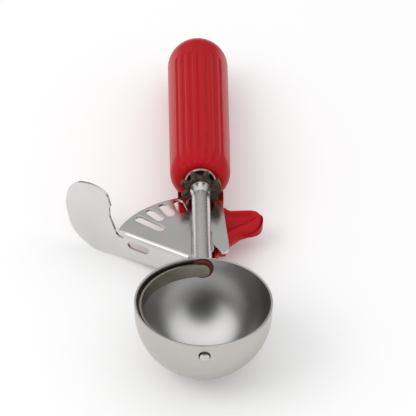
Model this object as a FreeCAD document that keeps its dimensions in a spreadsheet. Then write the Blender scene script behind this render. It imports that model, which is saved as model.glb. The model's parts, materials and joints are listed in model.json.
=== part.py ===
import FreeCAD, Part
import Sketcher
import math
import os
import re

# Lever ice cream scoop, modelled about its shaft: the origin is the centre of the bowl's
# sphere, +Y runs along the shaft to the handle, +Z is up out of the bowl's mouth and the
# thumb lever stands out to -X. Every piece then gets the same placement, which lays the
# scoop on a table the way it rests: on its bowl, its butt and the lever's lower edge.

DIMENSIONS = {
    "bowl_radius": 25.4, "bowl_wall": 0.8, "collar_rise": 4.6, "rim_round": 0.2,
    "scraper_gap": 1.0, "scraper_thickness": 0.8, "scraper_width": 5.8,
    "nose_pin_radius": 1.75, "nose_hole_radius": 2.2, "nose_pin_stand": 1.1,
    "rod_radius": 2.0, "rod_fit": 0.05, "tenon_radius": 1.2, "rivet_stand": 0.2,
    "clip_radius": 3.4, "clip_thickness": 0.6, "clip_groove": 0.4,
    "tube_radius": 3.65, "tube_wall": 0.7, "flare_radius": 4.4, "flare_length": 4.0,
    "bush_flange_radius": 4.1, "bush_length": 8.0,
    "pinion_front": 75.0, "pinion_thickness": 2.4, "pinion_radius": 8.35, "pinion_root": 5.4,
    "tooth_pitch": 45.0, "tooth_first": 251.0, "tooth_tip_width": 1.6, "tooth_root_width": 2.6,
    "lobe_from": -50.0, "lobe_to": 31.0, "pinion_hub_radius": 4.4, "pinion_hub_length": 5.0,
    "washer_thickness": 0.5, "end_play": 0.1, "cross_pin_radius": 0.75,
    "pivot_place": 46.0, "plate_drop": 6.7, "plate_thickness": 1.2, "plate_radius": 34.0,
    "slot_pitch": 12.0, "slot_inner": 25.4, "slot_outer": 30.8, "slot_long_inner": 20.6,
    "slot_width": 3.8, "lever_washer_radius": 4.6, "lever_washer_thickness": 0.4, "lever_play": 0.1,
    "bend_distance": 8.3, "bend_turn": 31.0, "bend_start": 1.5, "bend_end": 30.4,
    "flange_drop": 11.6, "tab_reach": 27.6, "tab_top": 11.6, "tab_bottom": 20.4,
    "lobe_edge_rear": 9.0, "lobe_edge_front": 10.9, "lobe_front": 43.4,
    "pivot_hub_radius": 5.0, "post_radius": 2.25, "post_collar_radius": 4.2, "post_foot_radius": 3.2,
    "spring_wire": 0.9, "spring_radius": 4.3, "spring_turns": 3.5, "spring_step": 1.32,
    "spring_leg": 4.6, "sleeve_wall": 0.7,
    "screw_radius": 1.5, "screw_head_radius": 2.8, "screw_head_height": 1.6,
    "screw_length": 6.0, "screw_washer_radius": 3.1, "screw_washer_thickness": 0.5,
    "barrel_front": 80.9, "barrel_front_radius": 12.3, "barrel_back_radius": 13.5,
    "handle_end": 181.8, "face_round": 3.2, "bore_radius": 6.0, "bore_depth": 8.0,
    "ferrule_wall": 0.55, "ferrule_length": 5.0, "ferrule_lip": 0.5,
    "bearing_radius": 4.2, "bearing_length": 8.0,
    "chin_top": 8.7, "chin_bottom": 18.2, "chin_nose_radius": 6.7, "chin_half_left": 9.2,
    "chin_half_right": 9.6, "chin_end": 108.0, "chin_round": 2.6,
    "ramp_front": 82.0, "ramp_angle": 13.5, "well_radius": 5.5, "well_floor": 14.6,
    "rest_reach": 25.4, "rest_rear": 71.5, "rest_front": 50.0, "rest_thickness": 6.0,
    "rest_top": 9.3, "rest_dish": 1.4, "rest_round": 1.8, "rest_corner": 3.0,
    "flute_radius": 1.25, "flute_depth": 0.42, "flute_front": 96.0, "flute_back": 160.0,
    "flute_turn": 15.0, "flute_count": 7.0,
}

doc = FreeCAD.newDocument("scoop")
sheet = doc.addObject("Spreadsheet::Sheet", "Dims")
for row, (alias, value) in enumerate(DIMENSIONS.items(), start=1):
    sheet.set(f"A{row}", alias)
    sheet.set(f"B{row}", str(value))
    sheet.setAlias(f"B{row}", alias)
doc.recompute()


def tied(text):
    """The same formula with each dimension's name pointing at its cell."""
    return re.sub(r"[a-z]\w*", lambda m: "Dims." + m[0] if m[0] in DIMENSIONS else m[0], text)


def size(text):
    """The formula's present value, in millimetres or degrees."""
    value = sheet.evalExpression(tied(str(text)))
    return float(getattr(value, "Value", value))


def bind(item, **formulas):
    for name, text in formulas.items():
        item.setExpression(name.replace("__", "."), tied(str(text)))
    return item


AXIS_TURN = {"Z": FreeCAD.Rotation(), "Y": FreeCAD.Rotation(FreeCAD.Vector(1, 0, 0), -90)}


def solid(kind, name, axis="Y", at=("0", "0", "0"), **formulas):
    """A primitive along an axis, from the point at, with every size tied to the sheet."""
    item = doc.addObject(kind, name)
    item.Placement = FreeCAD.Placement(FreeCAD.Vector(), AXIS_TURN[axis])
    bind(item, **formulas)
    bind(item, Placement__Base__x=at[0], Placement__Base__y=at[1], Placement__Base__z=at[2])
    return item


def cylinder(name, radius, height, axis="Y", at=("0", "0", "0")):
    return solid("Part::Cylinder", name, axis, at, Radius=radius, Height=height)


def cone(name, radius_near, radius_far, height, axis="Y", at=("0", "0", "0")):
    return solid("Part::Cone", name, axis, at, Radius1=radius_near, Radius2=radius_far, Height=height)


def ball(name, radius, at=("0", "0", "0")):
    return solid("Part::Sphere", name, "Z", at, Radius=radius)


def joined(name, *items):
    item = doc.addObject("Part::MultiFuse", name)
    item.Shapes = list(items)
    return item


def cut(name, base, *tools):
    item = doc.addObject("Part::Cut", name)
    item.Base = base
    item.Tool = tools[0] if len(tools) == 1 else joined(name + "_tools", *tools)
    return item


def shared(name, *items):
    item = doc.addObject("Part::MultiCommon", name)
    item.Shapes = list(items)
    return item


def new_body(name):
    return doc.addObject("PartDesign::Body", name)


def origin_feature(body, role):
    return next(f for f in body.Origin.OriginFeatures if f.Role == role)


def sketch(body, name, plane, lift, corners):
    """A closed outline. Each corner is (x, y) or (x, y, radius) for an arc on to the next
    corner, with the radius positive where the arc bulges to the right of its chord."""
    if body is None:
        item = doc.addObject("Sketcher::SketchObject", name)
    else:
        item = body.newObject("Sketcher::SketchObject", name)
        item.AttachmentSupport = [(origin_feature(body, plane), "")]
        item.MapMode = "FlatFace"
        bind(item, AttachmentOffset__Base__z=lift)
    points = [FreeCAD.Vector(size(c[0]), size(c[1]), 0) for c in corners]
    for index, corner in enumerate(corners):
        here, there = points[index], points[(index + 1) % len(points)]
        if len(corner) == 3:
            radius = size(corner[2])
            chord = there - here
            side = FreeCAD.Vector(chord.y, -chord.x, 0).normalize() * math.copysign(1, radius)
            half = chord.Length / 2
            bulge = abs(radius) - math.sqrt(max(radius * radius - half * half, 0))
            ends = (here, there) if radius > 0 else (there, here)
            item.addGeometry(Part.Arc(ends[0], here + chord / 2 + side * bulge, ends[1]), False)
        else:
            item.addGeometry(Part.LineSegment(here, there), False)
    ends = [arc_ends(item.Geometry[i], points[i]) for i in range(len(points))]
    for index, corner in enumerate(corners):
        following = (index + 1) % len(points)
        join = Sketcher.Constraint("Coincident", index, ends[index][1], following, ends[following][0])
        item.addConstraint(join)
        if len(corner) == 3:
            radius = item.addConstraint(Sketcher.Constraint("Radius", index, abs(size(corner[2]))))
            item.setExpression(f"Constraints[{radius}]", tied(f"abs({corner[2]})"))
    for index, corner in enumerate(corners):
        for kind, place, text in (("DistanceX", points[index].x, corner[0]),
                                  ("DistanceY", points[index].y, corner[1])):
            mark = Sketcher.Constraint(kind, -1, 1, index, ends[index][0], place)
            number = item.addConstraint(mark)
            item.setExpression(f"Constraints[{number}]", tied(str(text)))
    return item


def arc_ends(piece, start):
    """Which end of the edge (1 or 2) is its start in the outline's order, then the other."""
    return (1, 2) if (piece.StartPoint - start).Length < 1e-6 else (2, 1)


def pad(body, outline, name, length, backward=False):
    item = body.newObject("PartDesign::Pad", name)
    item.Profile = outline
    item.Reversed = backward
    bind(item, Length=length)
    return item


def turned(body, outline, name, kind="PartDesign::Revolution", axis="V_Axis"):
    item = body.newObject(kind, name)
    item.Profile = outline
    item.ReferenceAxis = (outline, [axis])
    item.Angle = 360.0
    return item


def filleted(name, base, radius, wanted):
    """The base with its edges rounded wherever the edge's bounding box passes the test."""
    doc.recompute()
    item = doc.addObject("Part::Fillet", name)
    item.Base = base
    item.Edges = [(number, size(radius), size(radius))
                  for number, edge in enumerate(base.Shape.Edges, start=1) if wanted(edge.BoundBox)]
    return item


# Bowl: a spun hemisphere with a short straight collar, a hole in its nose for the scraper's
# pin and one in its back wall for the bush that carries the rod.
def make_bowl():
    body = new_body("bowl_shell")
    inner = "bowl_radius - bowl_wall"
    lip = "collar_rise - rim_round"
    outline = sketch(body, "bowl_profile", "XY_Plane", "0", [
        ("0", "-bowl_radius", "bowl_radius"), ("bowl_radius", "0"),
        ("bowl_radius", lip, "rim_round"), ("bowl_radius - rim_round", "collar_rise"),
        (f"{inner} + rim_round", "collar_rise", "rim_round"), (inner, lip),
        (inner, "0", f"-({inner})"), ("0", f"-({inner})")])
    turned(body, outline, "bowl_spun")
    body.Placement = FreeCAD.Placement(FreeCAD.Vector(), FreeCAD.Rotation(FreeCAD.Vector(1, 0, 0), 90))
    nose = cylinder("nose_hole", "nose_hole_radius", "bowl_radius", at=("0", "-1.5 * bowl_radius", "0"))
    back = cylinder("back_hole", "tube_radius - tube_wall", "bowl_radius", at=("0", "bowl_radius / 2", "0"))
    return cut("bowl", body, nose, back)


# Shaft tube: its front end is cut to sit on the bowl, its rear end flares out to the pinion.
TUBE_END = "pinion_front - washer_thickness - 2 * end_play"


def make_tube():
    straight = f"{TUBE_END} - flare_length"
    outer = joined("tube_outer",
                   cylinder("tube_outer_run", "tube_radius", straight),
                   cone("tube_outer_flare", "tube_radius", "flare_radius", "flare_length",
                        at=("0", straight, "0")))
    inner = joined("tube_inner",
                   cylinder("tube_inner_run", "tube_radius - tube_wall", straight),
                   cone("tube_inner_flare", "tube_radius - tube_wall", "flare_radius - tube_wall / 2",
                        "flare_length", at=("0", straight, "0")))
    on_sphere = cut("tube_on_sphere", outer, inner, ball("tube_seat_on_bowl", "bowl_radius"))
    return cut("shaft_tube", on_sphere, cylinder("tube_seat_on_collar", "bowl_radius", "bowl_radius", axis="Z"))


# Scraper: a flat strip bent to a half circle that just clears the bowl's inside, with
# rounded ends, lying along the -X wall at rest.
BAND_OUTER = "bowl_radius - bowl_wall - scraper_gap"
BAND_INNER = f"{BAND_OUTER} - scraper_thickness"


# Front bush: flanged, pressed through the bowl's back wall into the tube.
def make_front_bush():
    front = f"{BAND_OUTER} + end_play"
    flange = shared("bush_flange",
                    cylinder("bush_flange_disc", "bush_flange_radius", "bowl_radius", at=("0", front, "0")),
                    ball("bush_flange_seat", "bowl_radius - bowl_wall"))
    barrel = cylinder("bush_barrel", "tube_radius - tube_wall", "bush_length", at=("0", front, "0"))
    bore = cylinder("bush_bore", "rod_radius + rod_fit", "bowl_radius", at=("0", "bowl_radius / 2", "0"))
    return cut("front_bush", joined("bush_blank", flange, barrel), bore)


def make_scraper():
    body = new_body("scraper_strip")
    end, near = "scraper_width / 2", f"sqrt(pow({BAND_OUTER}; 2) - pow(scraper_width / 2; 2))"
    inner_near = f"sqrt(pow({BAND_INNER}; 2) - pow(scraper_width / 2; 2))"
    outline = sketch(body, "scraper_arc", "XY_Plane", "-scraper_width / 2", [
        (end, near, BAND_OUTER), (f"-({BAND_OUTER})", "0", BAND_OUTER), (end, f"-{near}"),
        (end, f"-{inner_near}", f"-({BAND_INNER})"), (f"-({BAND_INNER})", "0", f"-({BAND_INNER})"),
        (end, inner_near)])
    pad(body, outline, "scraper_pad", "scraper_width")
    rounding = doc.addObject("Part::Box", "scraper_band_side")
    bind(rounding, Length="2 * bowl_radius", Width="4 * bowl_radius", Height="scraper_width",
         Placement__Base__x="-2 * bowl_radius", Placement__Base__y="-2 * bowl_radius",
         Placement__Base__z="-scraper_width / 2")
    ends = cylinder("scraper_round_ends", "scraper_width / 2", "4 * bowl_radius",
                    at=("0", "-2 * bowl_radius", "0"))
    strip = shared("scraper_trimmed", body, joined("scraper_plan", rounding, ends))
    eye = cylinder("scraper_tenon_hole", "tenon_radius", "bowl_radius", at=("0", "bowl_radius / 2", "0"))
    nose = cylinder("scraper_pin_hole", "tenon_radius", "bowl_radius", at=("0", "-1.5 * bowl_radius", "0"))
    return cut("scraper_blade", strip, eye, nose)


# Nose pin: riveted through the scraper's front end, it turns in the bowl's nose hole.
def make_nose_pin():
    crown = "nose_pin_radius * 2.2"
    end = "-(bowl_radius + nose_pin_stand)"
    stem = cylinder("nose_pin_stem", "tenon_radius", "scraper_thickness + rivet_stand",
                    at=("0", f"-({BAND_OUTER}) - rivet_stand", "0"))
    shank = cylinder("nose_pin_shank", "nose_pin_radius", f"bowl_radius + nose_pin_stand - ({BAND_OUTER})",
                     at=("0", end, "0"))
    dome = shared("nose_pin_domed", shank, ball("nose_pin_crown", crown, at=("0", f"{end} + {crown}", "0")))
    return joined("nose_pin", stem, dome)


# Drive rod: riveted into the scraper, it runs through the tube to the bearing in the handle.
PINION_BACK = "pinion_front + pinion_thickness"
ROD_END = "barrel_front + bore_depth + bearing_length"
CROSS_PIN_PLACE = f"{PINION_BACK} + 0.4 * pinion_hub_length"
CLIP_FRONT = f"{PINION_BACK} + pinion_hub_length + end_play"


def make_rod():
    tenon = cylinder("rod_tenon", "tenon_radius", "2 * scraper_thickness", at=("0", BAND_INNER, "0"))
    shaft = cylinder("rod_shaft", "rod_radius", f"{ROD_END} - ({BAND_OUTER})", at=("0", BAND_OUTER, "0"))
    hole = cylinder("rod_cross_hole", "cross_pin_radius", "4 * rod_radius", axis="Z",
                    at=("0", CROSS_PIN_PLACE, "-2 * rod_radius"))
    groove = cut("rod_groove",
                 cylinder("rod_groove_outer", "1.5 * rod_radius", "clip_thickness", at=("0", CLIP_FRONT, "0")),
                 cylinder("rod_groove_inner", "rod_radius - clip_groove", "clip_thickness",
                          at=("0", CLIP_FRONT, "0")))
    return cut("drive_rod", joined("rod_blank", tenon, shaft), hole, groove)


# Rod clip: a spring ring snapped into the rod's groove behind the pinion's hub, split on one side.
def make_clip():
    ring = cylinder("clip_disc", "clip_radius", "clip_thickness", at=("0", CLIP_FRONT, "0"))
    eye = cylinder("clip_eye", "rod_radius - clip_groove", "clip_thickness", at=("0", CLIP_FRONT, "0"))
    mouth = doc.addObject("Part::Box", "clip_mouth")
    bind(mouth, Length="2 * clip_radius", Width="3 * clip_thickness", Height="1.4 * rod_radius",
         Placement__Base__y=f"{CLIP_FRONT} - clip_thickness", Placement__Base__z="-0.7 * rod_radius")
    return cut("rod_clip", ring, eye, mouth)


def make_cross_pin():
    return cylinder("pinion_pin", "cross_pin_radius", "2 * pinion_hub_radius", axis="Z",
                    at=("0", CROSS_PIN_PLACE, "-pinion_hub_radius"))


def make_thrust_washer():
    disc = cylinder("thrust_washer_disc", "flare_radius - 0.2", "washer_thickness",
                    at=("0", f"{TUBE_END} + end_play", "0"))
    bore = cylinder("thrust_washer_bore", "rod_radius + rod_fit", "2 * washer_thickness",
                    at=("0", TUBE_END, "0"))
    return cut("thrust_washer", disc, bore)


# A flat outline drawn in a free sketch and pushed out to a solid. stand turns the sketch
# upright, so that its y runs along Z and the push runs along -Y before the swing about Z.
def extruded(name, corners, length, lift="0", centre=("0", "0", "0"), swing="0", stand=False):
    outline = sketch(None, name + "_outline", None, "0", corners)
    if stand:
        outline.Placement = FreeCAD.Placement(FreeCAD.Vector(), FreeCAD.Rotation(FreeCAD.Vector(1, 0, 0), 90))
        bind(outline, Placement__Base__y=lift)
    else:
        bind(outline, Placement__Base__z=lift)
    item = doc.addObject("Part::Extrusion", name)
    item.Base = outline
    item.DirMode = "Custom"
    item.Dir = FreeCAD.Vector(0, -1, 0) if stand else FreeCAD.Vector(0, 0, 1)
    item.Solid = True
    bind(item, LengthFwd=length)
    item.Placement = FreeCAD.Placement(FreeCAD.Vector(), FreeCAD.Rotation(FreeCAD.Vector(0, 0, 1), 1))
    bind(item, Placement__Base__x=centre[0], Placement__Base__y=centre[1],
         Placement__Base__z=centre[2], Placement__Rotation__Angle=swing)
    return item


# Pinion: a sintered gear of six teeth and one broad stop lobe on a hub. Its outlines are
# drawn facing the bowl, with x to the right and y up.
def make_pinion():
    back = PINION_BACK
    root = "0.96 * pinion_root"
    pieces = [cylinder("pinion_disc", "pinion_root", "pinion_thickness", at=("0", "pinion_front", "0")),
              cylinder("pinion_hub", "pinion_hub_radius", "pinion_thickness + pinion_hub_length",
                       at=("0", "pinion_front", "0"))]
    radial = [(root, "-0.5 * tooth_root_width"), ("pinion_radius - 1.2", "-0.4 * tooth_root_width"),
              ("pinion_radius - 0.3", "-0.5 * tooth_tip_width"),
              ("pinion_radius", "-0.28 * tooth_tip_width", "pinion_radius"),
              ("pinion_radius", "0.28 * tooth_tip_width"),
              ("pinion_radius - 0.3", "0.5 * tooth_tip_width"),
              ("pinion_radius - 1.2", "0.4 * tooth_root_width"), (root, "0.5 * tooth_root_width")]
    for number in range(-1, 5):
        turn = f"(tooth_first - {number} * tooth_pitch)"
        corners = [(f"({c[0]}) * cos({turn}) - ({c[1]}) * sin({turn})",
                    f"({c[0]}) * sin({turn}) + ({c[1]}) * cos({turn})") + tuple(c[2:]) for c in radial]
        pieces.append(extruded(f"pinion_tooth_{number + 2}", corners, "pinion_thickness",
                               lift=back, stand=True))
    lobe = [("0", "0"),
            ("pinion_radius * cos(lobe_from)", "pinion_radius * sin(lobe_from)", "pinion_radius"),
            ("pinion_radius * cos(lobe_to)", "pinion_radius * sin(lobe_to)")]
    pieces.append(extruded("pinion_lobe", lobe, "pinion_thickness", lift=back, stand=True))
    bore = cylinder("pinion_bore", "rod_radius", "bowl_radius", at=("0", "pinion_front - 1", "0"))
    hole = cylinder("pinion_cross_hole", "cross_pin_radius", "4 * pinion_hub_radius", axis="Z",
                    at=("0", CROSS_PIN_PLACE, "-2 * pinion_hub_radius"))
    return cut("pinion", joined("pinion_blank", *pieces), bore, hole)


# Thumb lever: one sheet of steel, a slotted sector plate with its front edge bent down
# into a flange that carries on outwards as the thumb tab. All of it is drawn about the pivot.
PLATE_UNDER = "-plate_drop - plate_thickness"


def slot_tool(name, turn, inner):
    half = "slot_width / 2"
    corners = [(half, inner), (half, "slot_outer", half), ("0", f"slot_outer + {half}", half),
               (f"-{half}", "slot_outer"), (f"-{half}", inner, half), ("0", f"{inner} - {half}", half)]
    return extruded(name, corners, "2 * plate_thickness", lift="-0.5 * plate_thickness",
                    centre=("0", "pivot_place", PLATE_UNDER), swing=turn)


def make_lever():
    ux, uy = "(-cos(bend_turn))", "sin(bend_turn)"
    nx, ny = "sin(bend_turn)", "cos(bend_turn)"

    def along(run, away):
        return f"{run} * {ux} - ({away}) * {nx}", f"{run} * {uy} - ({away}) * {ny}"

    edge = "plate_radius"
    left = along("bend_end", "bend_distance - plate_thickness / 2")
    right = along("bend_start", "bend_distance - plate_thickness / 2")
    corners = [
        left, right,
        ("pivot_hub_radius * 0.35", "-pivot_hub_radius * 0.94", "pivot_hub_radius"),
        ("pivot_hub_radius * 0.84", "pivot_hub_radius * 0.55"),
        ("lobe_edge_front - 3.6", "lobe_front - pivot_place - 0.3", "2.6"),
        ("lobe_edge_front", "lobe_front - pivot_place + 2.3"),
        ("lobe_edge_rear", "plate_radius * 0.90", "4.5"),
        ("lobe_edge_rear - 3.8", "sqrt(plate_radius * plate_radius - pow(lobe_edge_rear - 3.8; 2))", edge),
        ("-plate_radius * sin(45)", "plate_radius * cos(45)", "1.25 * plate_radius")]
    plate = extruded("lever_plate", corners, "plate_thickness", centre=("0", "pivot_place", PLATE_UNDER))
    tab_start = "bend_end + 4.2"
    tab_mid = "bend_end + tab_reach - 11.5"
    flange = extruded("lever_flange", [
        ("bend_start", "-plate_drop - 0.6"), ("bend_start", "-plate_drop - 0.9 * flange_drop"),
        ("bend_end - 2", "-plate_drop - flange_drop - 0.3"),
        ("bend_end + 14.5", "-tab_bottom + 0.6", "14"),
        ("bend_end + tab_reach - 3.2", "-tab_bottom * 0.72", "26"),
        ("bend_end + tab_reach", "0", "22"),
        (f"{tab_mid} + 6.2", "tab_top - 1.2", "9"),
        (tab_mid + " - 1.0", "tab_top", "17"),
        (f"{tab_start} + 2.6", "tab_top - 5.4", "5"),
        (f"{tab_start} + 2.3", "1.0"),
        (f"{tab_start} - 1.3", "-plate_drop + 0.6", "-3.4"),
        ("bend_end + 0.7", "-plate_drop - 0.6")],
        "plate_thickness", lift="bend_distance", centre=("0", "pivot_place", "0"),
        swing="180 - bend_turn", stand=True)
    tools = [slot_tool(f"slot_{k + 1}", f"(270 - tooth_first) * slot_pitch / tooth_pitch + {k - 1} * slot_pitch",
                       "slot_long_inner" if k == 5 else "slot_inner") for k in range(6)]
    tools.append(cylinder("lever_pivot_hole", "post_radius + rod_fit", "4 * plate_thickness", axis="Z",
                          at=("0", "pivot_place", f"{PLATE_UNDER} - plate_thickness")))
    pierced = [("bend_end - 10.6", "-plate_drop - 4.2", "-0.95"), ("bend_end - 10.6", "-plate_drop - 6.0"),
               ("bend_end - 2.2", "-plate_drop - 6.0", "-0.95"), ("bend_end - 2.2", "-plate_drop - 4.2")]
    tools.append(extruded("flange_slot", pierced, "3 * plate_thickness", lift="bend_distance + plate_thickness",
                          centre=("0", "pivot_place", "0"), swing="180 - bend_turn", stand=True))
    return cut("lever", joined("lever_blank", plate, flange), *tools)


# Pivot post: welded under the tube, it goes down through the lever and the return spring
# and is screwed to the floor of the well in the handle's chin.
def make_post():
    top = "-tube_radius"
    collar_under = "-plate_drop + 0.15"
    collar = cylinder("post_collar", "post_collar_radius", "plate_drop - 0.15", axis="Z",
                      at=("0", "pivot_place", collar_under))
    journal = cylinder("post_journal", "post_radius", "well_floor - 0.5 * tube_radius", axis="Z",
                       at=("0", "pivot_place", "-well_floor"))
    foot = cylinder("post_foot", "post_foot_radius", "0.8", axis="Z", at=("0", "pivot_place", "-well_floor"))
    thread = cylinder("post_thread", "screw_radius", "screw_length", axis="Z",
                      at=("0", "pivot_place", "-well_floor - 1"))
    return cut("pivot_post", joined("post_blank", collar, journal, foot),
               cylinder("post_tube_seat", "tube_radius", "4 * pivot_place", at=("0", "0", "0")), thread)


def make_spring_sleeve():
    height = "well_floor - 0.9 - plate_drop - plate_thickness - lever_washer_thickness - 2 * lever_play"
    at = ("0", "pivot_place", "-well_floor + 0.9")
    return cut("spring_sleeve",
               cylinder("sleeve_outer", "post_radius + rod_fit + sleeve_wall", height, axis="Z", at=at),
               cylinder("sleeve_inner", "post_radius + rod_fit", height, axis="Z", at=at))


def make_lever_washer():
    at = ("0", "pivot_place", f"{PLATE_UNDER} - lever_play - lever_washer_thickness")
    return cut("lever_washer",
               cylinder("lever_washer_disc", "lever_washer_radius", "lever_washer_thickness", axis="Z", at=at),
               cylinder("lever_washer_bore", "post_radius + rod_fit", "lever_washer_thickness", axis="Z", at=at))


def make_screw():
    head = cylinder("screw_head", "screw_head_radius", "screw_head_height", axis="Z",
                    at=("0", "pivot_place", "-chin_bottom + 0.2"))
    shank = cylinder("screw_shank", "screw_radius", f"chin_bottom - 0.2 - well_floor + screw_length - 1.2",
                     axis="Z", at=("0", "pivot_place", "-chin_bottom + 0.2"))
    slot = doc.addObject("Part::Box", "screw_drive")
    bind(slot, Length="0.8", Width="2 * screw_head_radius", Height="0.8",
         Placement__Base__x="-0.4", Placement__Base__y="pivot_place - screw_head_radius",
         Placement__Base__z="-chin_bottom + 0.2")
    return cut("post_screw", joined("screw_blank", head, shank), slot)


# Return spring: a torsion spring round the sleeve, with a leg on the lever and one on the chin.
def make_spring():
    wire = size("spring_wire") / 2
    radius, turns, step = size("spring_radius"), size("spring_turns"), size("spring_step")
    base = -size("well_floor") + wire + 0.35
    centre = FreeCAD.Vector(0, size("pivot_place"), base)
    leg = size("spring_leg")
    quarter = math.pi / 2

    def at(angle):
        return centre + FreeCAD.Vector(radius * math.cos(angle), radius * math.sin(angle),
                                       step * angle / (2 * math.pi))

    def slope(angle):
        return FreeCAD.Vector(-math.sin(angle), math.cos(angle), step / (2 * math.pi * radius)).normalize()

    edges = [Part.LineSegment(at(0) - slope(0) * leg, at(0)).toShape()]
    points = []
    for number in range(int(round(turns * 4))):
        first, last = number * quarter, (number + 1) * quarter
        middle = (first + last) / 2
        edges.append(Part.Arc(at(first), at(middle), at(last)).toShape())
        points += [at(first + (last - first) * k / 12) for k in range(12)]
    finish = turns * 2 * math.pi
    edges.append(Part.LineSegment(at(finish), at(finish) + slope(finish) * leg).toShape())
    path = Part.Wire(edges)
    disc = Part.Wire([Part.Circle(at(0) - slope(0) * leg, slope(0), wire).toShape()])
    item = doc.addObject("Part::Feature", "return_spring")
    item.Shape = path.makePipeShell([disc], True, False)
    gap = min((a - b).Length for i, a in enumerate(points) for b in points[i + 24:]) - 2 * wire
    print(f"return_spring: least gap between turns {gap:.2f} mm, pitch {step} mm")
    return item


# Handle: a moulded grip with a domed butt, a chin that reaches forward under the lever to
# hold the pivot, a finger rest on the right, and shallow flutes above and below.
def capsule(name, radius, run):
    """A round-ended bar from the origin along +Y."""
    outline = sketch(None, name + "_outline", None, "0", [
        ("0", f"-{radius}", radius), (radius, "0"), (radius, run), ("0", f"{run} + {radius}")])
    item = doc.addObject("Part::Revolution", name)
    item.Source = outline
    item.Axis = FreeCAD.Vector(0, 1, 0)
    item.Angle = 360
    item.Solid = True
    return item


BARREL_SLOPE = "((barrel_back_radius - barrel_front_radius) / (handle_end - barrel_back_radius - barrel_front))"


def make_flute(number, side):
    turn = size(f"flute_turn * ({number} - (flute_count - 1) / 2) + {side}")
    lean = math.degrees(math.atan(size(BARREL_SLOPE)))
    groove = capsule(f"flute_{'lower' if side else 'upper'}_{number + 1}", "flute_radius",
                     "(flute_back - flute_front)")
    lift = "(barrel_front_radius + flute_radius - flute_depth)"
    start = f"({lift} + {BARREL_SLOPE} * (flute_front - barrel_front))"
    swing = FreeCAD.Rotation(FreeCAD.Vector(0, 1, 0), turn)
    groove.Placement = FreeCAD.Placement(FreeCAD.Vector(),
                                         swing.multiply(FreeCAD.Rotation(FreeCAD.Vector(1, 0, 0), lean)))
    return bind(groove, Placement__Base__x=f"{start} * sin({turn})", Placement__Base__y="flute_front",
                Placement__Base__z=f"{start} * cos({turn})")


def make_handle():
    body = new_body("grip_body")
    outline = sketch(body, "grip_profile", "XY_Plane", "0", [
        ("0", "barrel_front"),
        ("barrel_front_radius - face_round", "barrel_front", "face_round"),
        ("barrel_front_radius", "barrel_front + face_round"),
        ("barrel_back_radius", "handle_end - barrel_back_radius", "barrel_back_radius"),
        ("0", "handle_end")])
    turned(body, outline, "grip_spun")
    chin = extruded("chin", [
        ("-chin_nose_radius", "pivot_place", "chin_nose_radius"),
        ("0", "pivot_place - chin_nose_radius", "chin_nose_radius"), ("chin_nose_radius", "pivot_place"),
        ("chin_half_right", "barrel_front"),
        ("chin_half_right", "chin_end - chin_half_right", "chin_half_right"), ("0", "chin_end", "chin_half_left"),
        ("-chin_half_left", "chin_end - chin_half_left"),
        ("-chin_half_left", "barrel_front")],
        "chin_bottom - chin_top", lift="-chin_bottom")
    rest = extruded("finger_rest", [
        ("0.5 * chin_nose_radius", "rest_front - 1"),
        ("chin_half_right + 1.5", "rest_front", "-26"),
        ("rest_reach - 4.5", "rest_front + 5.5", "7.5"),
        ("rest_reach", "rest_rear - 8.5", "7.0"),
        ("rest_reach - 6", "rest_rear - 0.6", "60"),
        ("chin_half_right - 2", "rest_rear + 3")],
        "rest_thickness", lift="-rest_top - rest_thickness")
    ramp = doc.addObject("Part::Box", "chin_ramp")
    ramp.Placement = FreeCAD.Placement(FreeCAD.Vector(), FreeCAD.Rotation(FreeCAD.Vector(1, 0, 0), 1))
    bind(ramp, Length="4 * chin_half_right", Width="chin_end", Height="chin_bottom",
         Placement__Base__x="-2 * chin_half_right", Placement__Base__y="ramp_front + chin_bottom * sin(ramp_angle)",
         Placement__Base__z="-chin_bottom - chin_bottom * cos(ramp_angle)",
         Placement__Rotation__Angle="ramp_angle")
    under, outside = -size("chin_bottom"), size("chin_half_right") + 1
    chin = filleted("chin_rounded", chin, "chin_round", lambda box: abs(box.ZMax - under) < 0.01)
    chin = cut("chin_ramped", chin, ramp)
    rest = filleted("finger_rest_corners", rest, "rest_corner", lambda box: box.ZLength > 1 and box.XMax > outside)
    rest = filleted("finger_rest_rounded", rest, "rest_round",
                    lambda box: box.ZLength < 0.01 and box.XMax > outside)
    dish = extruded("finger_rest_dish", [
        ("chin_half_right - 0.6", "rest_front + 3.5"),
        ("rest_reach - 5.5", "rest_front + 7.5", "6"),
        ("rest_reach - 2.4", "rest_rear - 8.5", "5.5"),
        ("rest_reach - 6.5", "rest_rear - 2.6"),
        ("chin_half_right + 0.6", "rest_rear - 2.4")],
        "2 * rest_dish", lift="-rest_top - rest_dish")
    grip = joined("grip_solid", body, chin, rest)
    flutes = [make_flute(n, side) for side in (0, 180) for n in range(int(size("flute_count")))]
    well = cylinder("spring_well", "well_radius", "well_floor", axis="Z", at=("0", "pivot_place", "-well_floor"))
    mouth = doc.addObject("Part::Box", "well_mouth")
    bind(mouth, Length="spring_radius + 0.8 + 1.5 * chin_nose_radius", Width="1.5 * chin_nose_radius",
         Height="well_floor", Placement__Base__x="-1.5 * chin_nose_radius",
         Placement__Base__y="pivot_place - 1.5 * chin_nose_radius", Placement__Base__z="-well_floor")
    tools = [mouth, cylinder("ferrule_seat", "bore_radius", "bore_depth", at=("0", "barrel_front", "0")),
             cylinder("bearing_seat", "bearing_radius", f"{ROD_END} + 2 - barrel_front",
                      at=("0", "barrel_front", "0")),
             well,
             cylinder("screw_hole", "screw_radius + 0.1", "chin_bottom", axis="Z",
                      at=("0", "pivot_place", "-1.5 * chin_bottom")),
             cylinder("screw_head_well", "screw_washer_radius + 0.2",
                      "screw_head_height + screw_washer_thickness + 0.2", axis="Z",
                      at=("0", "pivot_place", "-chin_bottom")),
             dish]
    grooved = cut("grip_fluted", grip, *flutes)
    return cut("handle", grooved, *tools)


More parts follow.
